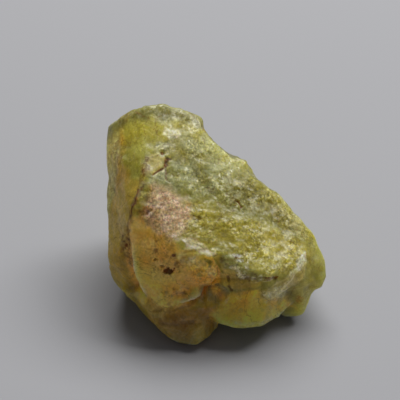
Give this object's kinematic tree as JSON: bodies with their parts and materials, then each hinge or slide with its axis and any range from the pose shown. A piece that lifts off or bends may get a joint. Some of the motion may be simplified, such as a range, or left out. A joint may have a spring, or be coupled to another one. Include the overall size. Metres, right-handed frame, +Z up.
{
  "type": "grossular garnet crystal",
  "caption": "Rough translucent yellow-green garnet specimen: a broken crystal block with a sloping frosted face, an amber lobe and a thin-edged shelf, resting on a flat break.",
  "frame": {"origin": "middle of the stone's bounding box, at the flat break that it rests on", "axes": "+X along the stone's longest side, towards its low rounded end; +Y towards its back, away from the amber lobe; +Z up"},
  "size_m": [0.0316, 0.026, 0.024],
  "materials": {
    "garnet": "translucent, frosted and waxy broken faces"
  },
  "bodies": {
    "root": {"garnet": "garnet"}
  },
  "joints": []
}
